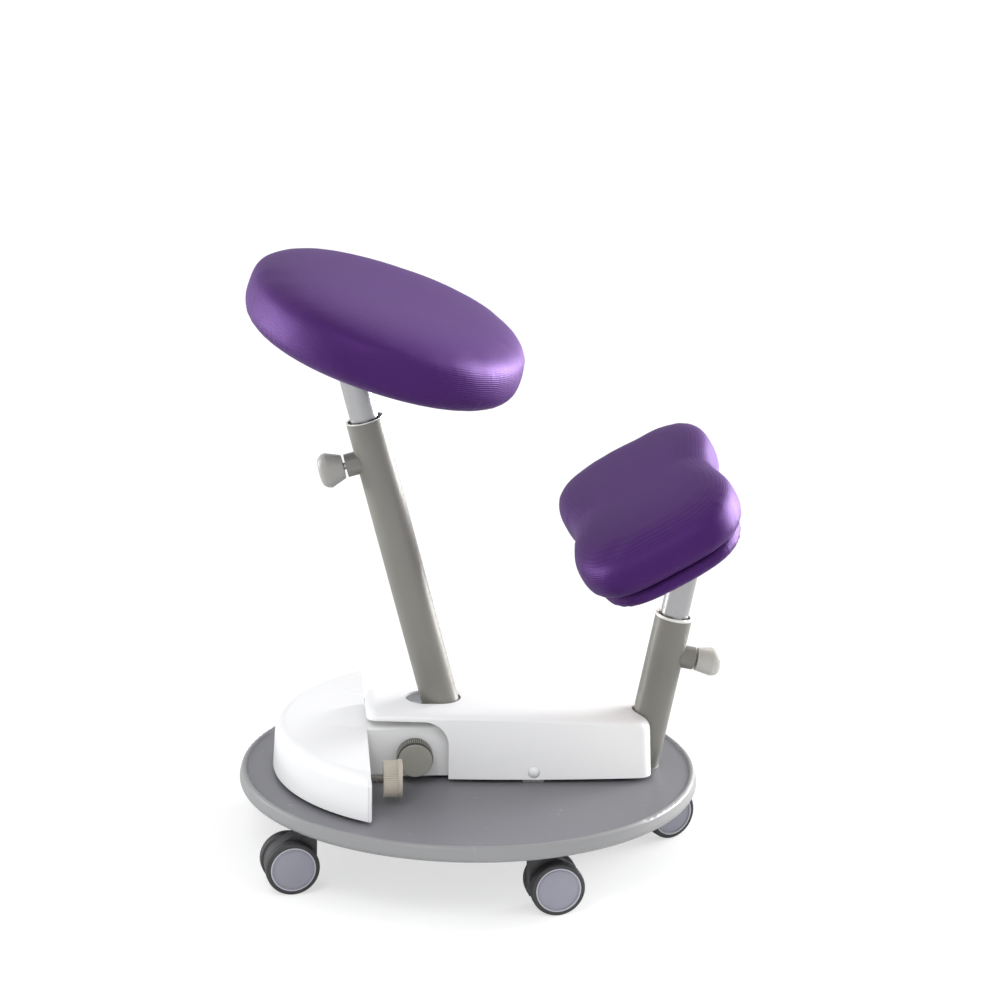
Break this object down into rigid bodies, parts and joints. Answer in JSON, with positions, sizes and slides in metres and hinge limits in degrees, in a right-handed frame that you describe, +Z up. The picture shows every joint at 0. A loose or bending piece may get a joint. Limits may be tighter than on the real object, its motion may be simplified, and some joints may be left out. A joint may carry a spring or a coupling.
{
  "type": "kneeling stool",
  "caption": "Rolling kneeling stool for a clinic: oval tilted seat and waisted knee pad on two clamped columns above a round castered disc with white covers.",
  "frame": {"origin": "centre of the footprint of the bounding box, on the floor under the wheels", "axes": "+X from the seat towards the knee pad, +Y to the left of a person facing the knee pad, +Z up"},
  "size_m": [0.5531, 0.5203, 0.671],
  "materials": {
    "disc_paint": "satin",
    "steel": "satin",
    "tube_paint": "gloss",
    "white_shell": "gloss",
    "dark_plastic": "satin",
    "cap_plastic": "satin",
    "knob_plastic": "satin",
    "side_knob_plastic": "satin",
    "beige_plastic": "satin",
    "violet_cloth": "satin",
    "plywood": "matte",
    "black_rubber": "matte",
    "wheel_tread": "satin",
    "guide_plastic": "satin",
    "bracket_paint": "satin",
    "post_steel": "polished"
  },
  "bodies": {
    "base": {"base_disc": "disc_paint", "base_plate": "steel", "base_screws": "steel", "under_screws": "steel", "rear_cover": "white_shell", "main_cover": "white_shell", "cover_screws": "white_shell", "knee_column": "tube_paint", "knee_bush": "guide_plastic", "pivot_bolt": "steel", "clamp_sleeve": "steel", "tension_bracket": "steel", "tilt_stops": "black_rubber", "caster_sockets": "steel", "caster_stems": "steel"},
    "seat_mast": {"seat_rocker": "steel", "seat_column": "tube_paint", "seat_bush": "guide_plastic"},
    "seat_top": {"seat_post": "post_steel", "seat_glide": "guide_plastic", "seat_bracket": "bracket_paint", "seat_pan": "plywood", "seat_cushion": "violet_cloth", "seat_screws": "steel"},
    "seat_clamp": {"seat_knob": "knob_plastic", "seat_stud": "steel"},
    "knee_top": {"knee_post": "post_steel", "knee_glide": "guide_plastic", "knee_bracket": "bracket_paint", "knee_pan": "plywood", "knee_band": "violet_cloth", "knee_cushion": "violet_cloth", "knee_screws": "steel"},
    "knee_clamp": {"knee_knob": "knob_plastic", "knee_stud": "steel"},
    "tilt_clamp": {"side_knob": "side_knob_plastic"},
    "tension_spindle": {"tension_knob": "beige_plastic", "tension_screw": "steel"},
    "tension_slider": {"tension_nut": "steel"},
    "fork_a": {"hood_a": "dark_plastic"},
    "roller_a": {"axle_a": "steel", "wheels_a": "wheel_tread", "caps_a": "cap_plastic"},
    "fork_b": {"hood_b": "dark_plastic"},
    "roller_b": {"axle_b": "steel", "wheels_b": "wheel_tread", "caps_b": "cap_plastic"},
    "fork_c": {"hood_c": "dark_plastic"},
    "roller_c": {"axle_c": "steel", "wheels_c": "wheel_tread", "caps_c": "cap_plastic"},
    "fork_d": {"hood_d": "dark_plastic"},
    "roller_d": {"axle_d": "steel", "wheels_d": "wheel_tread", "caps_d": "cap_plastic"},
    "fork_e": {"hood_e": "dark_plastic"},
    "roller_e": {"axle_e": "steel", "wheels_e": "wheel_tread", "caps_e": "cap_plastic"}
  },
  "joints": [
    {"name": "seat_tilt", "type": "hinge", "parent": "base", "child": "seat_mast", "pos_m": [-0.08267, 0, 0.1205], "axis": [0, 1, 0], "range_deg": [-11, 0]},
    {"name": "seat_height", "type": "slide", "parent": "seat_mast", "child": "seat_top", "axis": [-0.2588, 0, 0.9659], "range_m": [-0.04, 0.09]},
    {"name": "seat_clamp_turn", "type": "hinge", "parent": "seat_mast", "child": "seat_clamp", "pos_m": [-0.16667, 0, 0.44242], "axis": [-0.9659, 0, -0.2588], "range_deg": [-180, 180]},
    {"name": "knee_height", "type": "slide", "parent": "base", "child": "knee_top", "axis": [0.1874, 0, 0.9823], "range_m": [-0.05, 0.05]},
    {"name": "knee_clamp_turn", "type": "hinge", "parent": "base", "child": "knee_clamp", "pos_m": [0.24226, 0, 0.21574], "axis": [0.9823, 0, -0.1874], "range_deg": [-180, 180]},
    {"name": "tilt_clamp_turn", "type": "hinge", "parent": "base", "child": "tilt_clamp", "pos_m": [-0.08267, -0.055, 0.1205], "axis": [0, -1, 0], "range_deg": [-180, 180]},
    {"name": "tension_turn", "type": "hinge", "parent": "base", "child": "tension_spindle", "pos_m": [-0.11867, -0.115, 0.118], "axis": [1, 0, 0], "range_deg": [-1440, 1800]},
    {"name": "tension_travel", "type": "slide", "parent": "base", "child": "tension_slider", "axis": [1, 0, 0], "range_m": [-0.0075, 0.006]},
    {"name": "swivel_a", "type": "hinge", "parent": "base", "child": "fork_a", "pos_m": [-0.20561, -0.13668, 0.06], "axis": [0, 0, 1], "continuous": true},
    {"name": "roll_a", "type": "hinge", "parent": "fork_a", "child": "roller_a", "pos_m": [-0.22333, -0.1398, 0.03], "axis": [0.1736, -0.9848, 0], "continuous": true},
    {"name": "swivel_b", "type": "hinge", "parent": "base", "child": "fork_b", "pos_m": [0.04526, -0.20861, 0.06], "axis": [0, 0, 1], "continuous": true},
    {"name": "roll_b", "type": "hinge", "parent": "fork_b", "child": "roller_b", "pos_m": [0.06304, -0.2058, 0.03], "axis": [-0.1564, 0.9877, 0], "continuous": true},
    {"name": "swivel_c", "type": "hinge", "parent": "base", "child": "fork_c", "pos_m": [0.1912, 0.00775, 0.06], "axis": [0, 0, 1], "continuous": true},
    {"name": "roll_c", "type": "hinge", "parent": "fork_c", "child": "roller_c", "pos_m": [0.20709, 0.0162, 0.03], "axis": [-0.4695, 0.8829, 0], "continuous": true},
    {"name": "swivel_d", "type": "hinge", "parent": "base", "child": "fork_d", "pos_m": [0.03052, 0.2134, 0.06], "axis": [0, 0, 1], "continuous": true},
    {"name": "roll_d", "type": "hinge", "parent": "fork_d", "child": "roller_d", "pos_m": [0.01673, 0.22497, 0.03], "axis": [-0.6428, -0.766, 0], "continuous": true},
    {"name": "swivel_e", "type": "hinge", "parent": "base", "child": "fork_e", "pos_m": [-0.21471, 0.12414, 0.06], "axis": [0, 0, 1], "continuous": true},
    {"name": "roll_e", "type": "hinge", "parent": "fork_e", "child": "roller_e", "pos_m": [-0.23267, 0.12288, 0.03], "axis": [0.0698, -0.9976, 0], "continuous": true}
  ],
  "couplings": [
    {"joint": "tension_travel", "follows": "tension_turn", "m_per_rad": -0.00023873}
  ]
}
